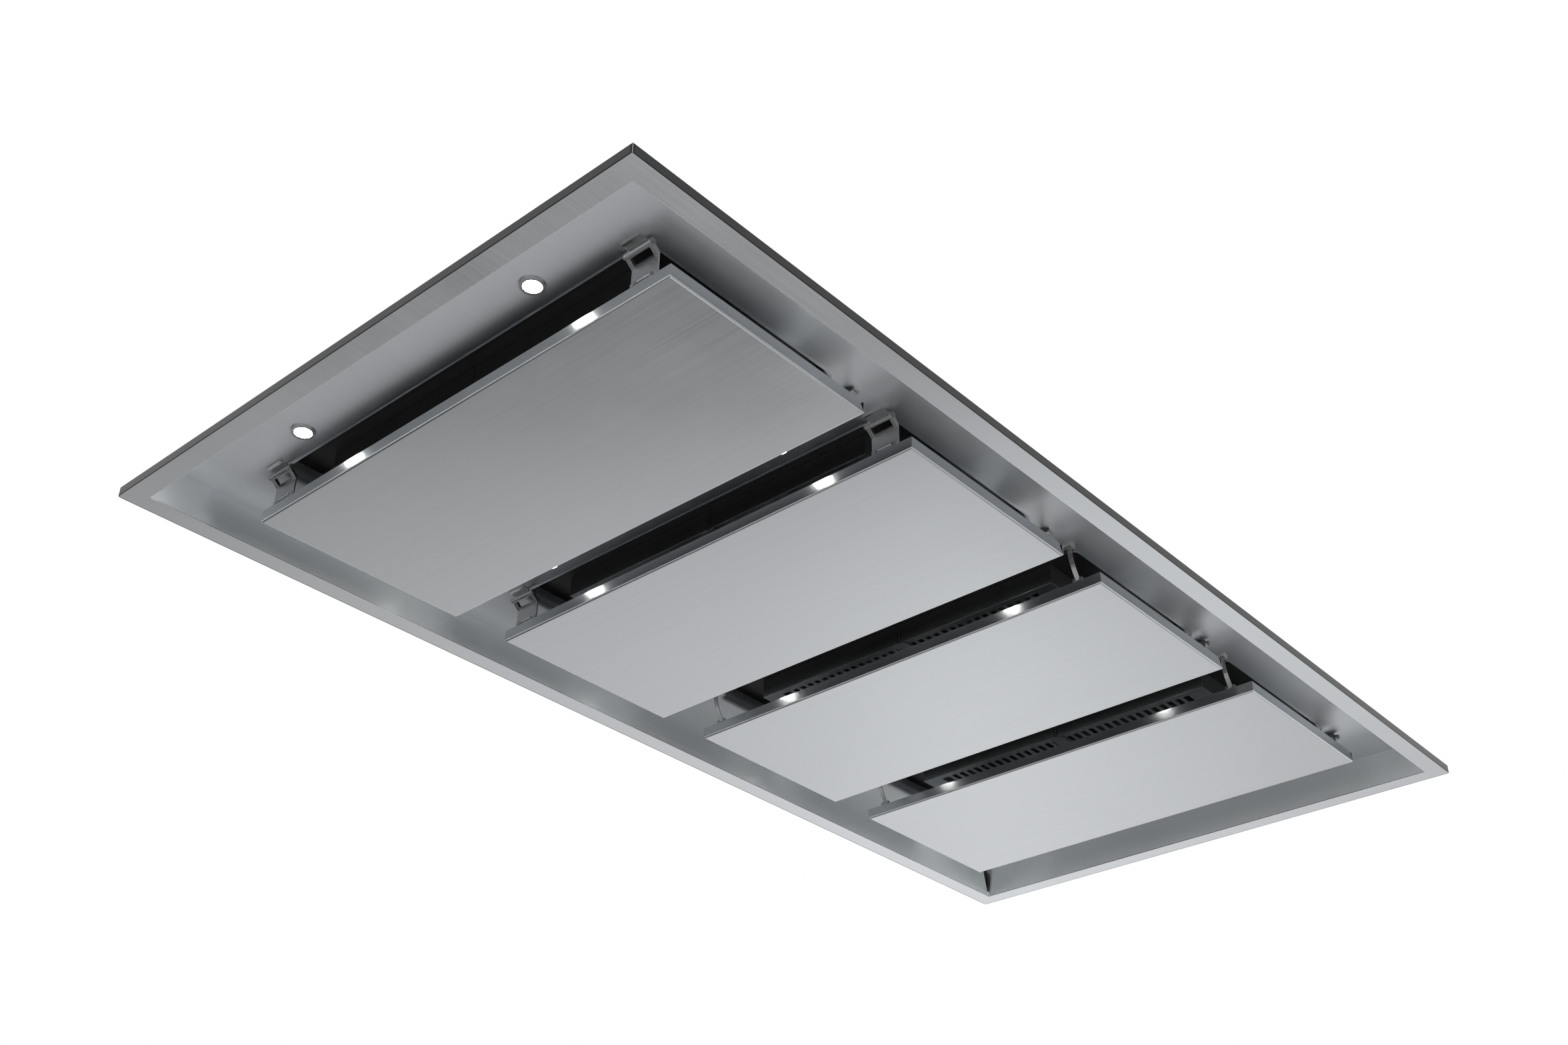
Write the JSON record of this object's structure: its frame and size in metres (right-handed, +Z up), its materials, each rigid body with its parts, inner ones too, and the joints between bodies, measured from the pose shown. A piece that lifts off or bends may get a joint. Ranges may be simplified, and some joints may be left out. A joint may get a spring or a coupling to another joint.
{
  "type": "ceiling range hood",
  "caption": "Recessed ceiling range hood: stainless flange and recess, hinged suction panels under latched grease filters, flush lamps, and a casing with a duct-top blower above.",
  "frame": {"origin": "middle of the flange face that bears on the ceiling", "axes": "+X along the hood's long side, towards the panels hinged on their +X edges; +Y across it, towards the control box; +Z up into the ceiling"},
  "size_m": [1.4, 0.7, 0.3444],
  "materials": {
    "stainless_tray": "satin stainless sheet, brushed along the hood",
    "stainless_wall": "satin stainless sheet, brushed along the walls",
    "stainless_panel": "satin stainless sheet, brushed along the panel",
    "hinge_steel": "bright stainless pressings",
    "spring_steel": "spring steel",
    "screw_steel": "screws and pins",
    "black_deck": "matt black coated sheet",
    "galvanised": "galvanised sheet",
    "bezel_chrome": "polished lamp rings",
    "lamp_diffuser": "frosted lit lens",
    "lamp_housing": "cast lamp bodies",
    "magnet_nickel": "nickel-plated magnet plates",
    "filter_aluminium": "aluminium filter frames and baffles",
    "latch_steel": "filter latch bolts",
    "black_plastic": "moulded blower parts",
    "motor_metal": "ribbed motor can",
    "rotor_metal": "impeller sheet",
    "shaft_steel": "ground shaft",
    "box_plastic": "light grey plastic enclosures"
  },
  "bodies": {
    "hood": {"flange": "stainless_tray", "recess_walls": "stainless_wall", "tray": "stainless_tray", "filter_deck": "black_deck", "filter_rails": "galvanised", "casing_shell": "galvanised", "casing_lid": "galvanised", "casing_screws": "screw_steel", "suspension_brackets": "galvanised", "lamp_bodies": "lamp_housing", "lamp_bezels": "bezel_chrome", "lamp_lenses": "lamp_diffuser", "hinge_brackets": "hinge_steel", "hinge_pins": "screw_steel", "catch_magnets": "magnet_nickel", "filter_frames_1": "filter_aluminium", "filter_frames_2": "filter_aluminium", "filter_frames_3": "filter_aluminium", "filter_frames_4": "filter_aluminium", "filter_baffles_1": "filter_aluminium", "filter_baffles_2": "filter_aluminium", "filter_baffles_3": "filter_aluminium", "filter_baffles_4": "filter_aluminium", "blower_housing": "black_plastic", "motor": "motor_metal", "motor_bracket": "galvanised", "outlet_collar": "black_plastic", "control_box": "box_plastic", "control_cover": "box_plastic", "terminal_block": "box_plastic", "lamp_driver": "box_plastic", "cable_gland": "black_plastic"},
    "panel_1": {"panel_1": "stainless_panel", "hinge_leaves_1": "hinge_steel", "catch_straps_1": "spring_steel", "panel_screws_1": "screw_steel"},
    "panel_2": {"panel_2": "stainless_panel", "hinge_leaves_2": "hinge_steel", "catch_straps_2": "spring_steel", "panel_screws_2": "screw_steel"},
    "panel_3": {"panel_3": "stainless_panel", "hinge_leaves_3": "hinge_steel", "catch_straps_3": "spring_steel", "panel_screws_3": "screw_steel"},
    "panel_4": {"panel_4": "stainless_panel", "hinge_leaves_4": "hinge_steel", "catch_straps_4": "spring_steel", "panel_screws_4": "screw_steel"},
    "latch_1": {"filter_latch_1": "latch_steel"},
    "latch_2": {"filter_latch_2": "latch_steel"},
    "latch_3": {"filter_latch_3": "latch_steel"},
    "latch_4": {"filter_latch_4": "latch_steel"},
    "latch_5": {"filter_latch_5": "latch_steel"},
    "latch_6": {"filter_latch_6": "latch_steel"},
    "latch_7": {"filter_latch_7": "latch_steel"},
    "latch_8": {"filter_latch_8": "latch_steel"},
    "rotor": {"impeller": "rotor_metal", "motor_shaft": "shaft_steel"},
    "flap_a": {"damper_flap_a": "black_plastic"},
    "flap_b": {"damper_flap_b": "black_plastic"}
  },
  "joints": [
    {"name": "panel_1_hinge", "type": "hinge", "parent": "hood", "child": "panel_1", "pos_m": [-0.59375, 0, 0.028], "axis": [0, 1, 0], "range_deg": [0, 85]},
    {"name": "panel_2_hinge", "type": "hinge", "parent": "hood", "child": "panel_2", "pos_m": [-0.28325, 0, 0.028], "axis": [0, 1, 0], "range_deg": [0, 85]},
    {"name": "panel_3_hinge", "type": "hinge", "parent": "hood", "child": "panel_3", "pos_m": [0.28325, 0, 0.028], "axis": [0, -1, 0], "range_deg": [0, 85]},
    {"name": "panel_4_hinge", "type": "hinge", "parent": "hood", "child": "panel_4", "pos_m": [0.59375, 0, 0.028], "axis": [0, -1, 0], "range_deg": [0, 85]},
    {"name": "latch_1_slide", "type": "slide", "parent": "hood", "child": "latch_1", "axis": [0, 1, 0], "range_m": [0, 0.008], "stiffness_N_per_m": 300, "springref_m": -0.006},
    {"name": "latch_2_slide", "type": "slide", "parent": "hood", "child": "latch_2", "axis": [0, -1, 0], "range_m": [0, 0.008], "stiffness_N_per_m": 300, "springref_m": -0.006},
    {"name": "latch_3_slide", "type": "slide", "parent": "hood", "child": "latch_3", "axis": [0, 1, 0], "range_m": [0, 0.008], "stiffness_N_per_m": 300, "springref_m": -0.006},
    {"name": "latch_4_slide", "type": "slide", "parent": "hood", "child": "latch_4", "axis": [0, -1, 0], "range_m": [0, 0.008], "stiffness_N_per_m": 300, "springref_m": -0.006},
    {"name": "latch_5_slide", "type": "slide", "parent": "hood", "child": "latch_5", "axis": [0, 1, 0], "range_m": [0, 0.008], "stiffness_N_per_m": 300, "springref_m": -0.006},
    {"name": "latch_6_slide", "type": "slide", "parent": "hood", "child": "latch_6", "axis": [0, -1, 0], "range_m": [0, 0.008], "stiffness_N_per_m": 300, "springref_m": -0.006},
    {"name": "latch_7_slide", "type": "slide", "parent": "hood", "child": "latch_7", "axis": [0, 1, 0], "range_m": [0, 0.008], "stiffness_N_per_m": 300, "springref_m": -0.006},
    {"name": "latch_8_slide", "type": "slide", "parent": "hood", "child": "latch_8", "axis": [0, -1, 0], "range_m": [0, 0.008], "stiffness_N_per_m": 300, "springref_m": -0.006},
    {"name": "impeller_spin", "type": "hinge", "parent": "hood", "child": "rotor", "pos_m": [0, 0, 0.162], "axis": [0, 1, 0], "continuous": true},
    {"name": "flap_a_hinge", "type": "hinge", "parent": "hood", "child": "flap_a", "pos_m": [0.07579, 0, 0.287], "axis": [0, -1, 0], "range_deg": [0, 80]},
    {"name": "flap_b_hinge", "type": "hinge", "parent": "hood", "child": "flap_b", "pos_m": [0.06679, 0, 0.287], "axis": [0, 1, 0], "range_deg": [0, 80]}
  ]
}
